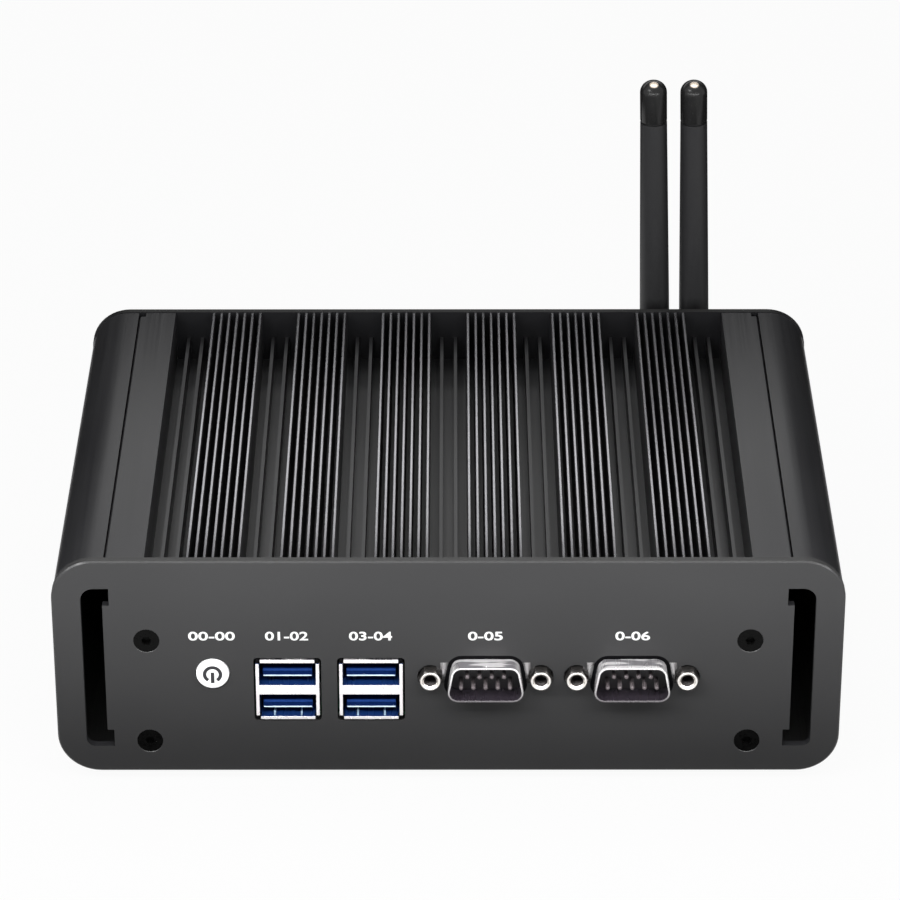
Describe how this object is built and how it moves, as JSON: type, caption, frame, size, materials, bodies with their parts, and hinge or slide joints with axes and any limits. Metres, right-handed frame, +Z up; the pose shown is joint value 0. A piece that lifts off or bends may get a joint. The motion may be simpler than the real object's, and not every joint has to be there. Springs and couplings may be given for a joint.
{
  "type": "fanless industrial pc",
  "caption": "Flat black fanless computer with a finned aluminium top, front button, USB and serial ports, and stub antennas at the back.",
  "frame": {"origin": "on the standing plane under the feet, in the middle of the overall outline", "axes": "+X to the right seen from the front, +Y from the front panel to the back, +Z up"},
  "size_m": [0.178, 0.1552, 0.111],
  "materials": {
    "case_black": "black anodised extrusion, fine draw lines, bare milled fin tips",
    "panel_black": "dark grey anodised plate, bead blasted",
    "screw_black": "black oxide",
    "foot_rubber": "matt",
    "circuit_board": "solder resist over glass fibre",
    "brass": "turned",
    "zinc_steel": "zinc plated",
    "chip_black": "moulded, matt",
    "pad_grey": "soft, matt",
    "spreader_metal": "milled",
    "socket_black": "moulded, matt",
    "connector_steel": "nickel plated sheet",
    "usb_blue": "moulded",
    "contact_gold": "gold plated",
    "jackscrew_nickel": "nickel plated, turned",
    "button_white": "moulded, satin, with a dark power symbol",
    "antenna_black": "moulded, matt",
    "antenna_cap_black": "moulded, glossy",
    "coax_sleeve": "thin coax sleeve"
  },
  "bodies": {
    "case": {"chassis": "case_black", "heatsink": "case_black", "front_panel": "panel_black", "back_panel": "panel_black", "panel_screws": "screw_black", "foot_front_left": "foot_rubber", "foot_front_right": "foot_rubber", "foot_back_left": "foot_rubber", "foot_back_right": "foot_rubber", "mainboard": "circuit_board", "switch_board": "circuit_board", "memory_module": "circuit_board", "drive_card": "circuit_board", "radio_card": "circuit_board", "board_standoffs": "brass", "card_posts": "brass", "board_screws": "zinc_steel", "spreader_screws": "zinc_steel", "card_screws": "zinc_steel", "processor": "chip_black", "capacitors": "chip_black", "inductors": "chip_black", "thermal_pad": "pad_grey", "heat_spreader": "spreader_metal", "memory_socket": "socket_black", "card_sockets": "socket_black", "coin_cell_holder": "socket_black", "com_insulator_left": "socket_black", "com_insulator_right": "socket_black", "power_switch": "socket_black", "dc_inlet": "socket_black", "hdmi_insulator": "socket_black", "lan_housing": "socket_black", "usb_shell_left": "connector_steel", "usb_shell_right": "connector_steel", "com_shell_left": "connector_steel", "com_shell_right": "connector_steel", "hdmi_shell": "connector_steel", "lan_shell": "connector_steel", "coin_cell": "connector_steel", "usb_insulator_left": "usb_blue", "usb_insulator_right": "usb_blue", "com_pins": "contact_gold", "dc_inlet_pin": "contact_gold", "antenna_jack_left": "contact_gold", "antenna_jack_right": "contact_gold", "antenna_nuts": "contact_gold", "com_jackscrews": "jackscrew_nickel", "antenna_coupler_left": "jackscrew_nickel", "antenna_coupler_right": "jackscrew_nickel", "coax_pigtails": "coax_sleeve"},
    "power_button": {"power_button": "button_white"},
    "antenna_left_base": {"antenna_elbow_left": "antenna_black", "antenna_pin_left": "jackscrew_nickel"},
    "antenna_left_arm": {"antenna_mast_left": "antenna_black", "antenna_cap_left": "antenna_cap_black"},
    "antenna_right_base": {"antenna_elbow_right": "antenna_black", "antenna_pin_right": "jackscrew_nickel"},
    "antenna_right_arm": {"antenna_mast_right": "antenna_black", "antenna_cap_right": "antenna_cap_black"}
  },
  "joints": [
    {"name": "power_button_press", "type": "slide", "parent": "case", "child": "power_button", "axis": [0, 1, 0], "range_m": [0, 0.0008], "stiffness_N_per_m": 800, "springref_m": -0.0005},
    {"name": "antenna_left_swivel", "type": "hinge", "parent": "case", "child": "antenna_left_base", "pos_m": [0.0529, 0.0734, 0.0295], "axis": [0, 1, 0], "range_deg": [-90, 0]},
    {"name": "antenna_left_tilt", "type": "hinge", "parent": "antenna_left_base", "child": "antenna_left_arm", "pos_m": [0.0529, 0.0734, 0.0295], "axis": [-0.9997, 0, -0.0262], "range_deg": [0, 90]},
    {"name": "antenna_right_swivel", "type": "hinge", "parent": "case", "child": "antenna_right_base", "pos_m": [0.0629, 0.0734, 0.0295], "axis": [0, 1, 0], "range_deg": [0, 90]},
    {"name": "antenna_right_tilt", "type": "hinge", "parent": "antenna_right_base", "child": "antenna_right_arm", "pos_m": [0.0629, 0.0734, 0.0295], "axis": [-0.9997, 0, -0.0262], "range_deg": [0, 90]}
  ]
}
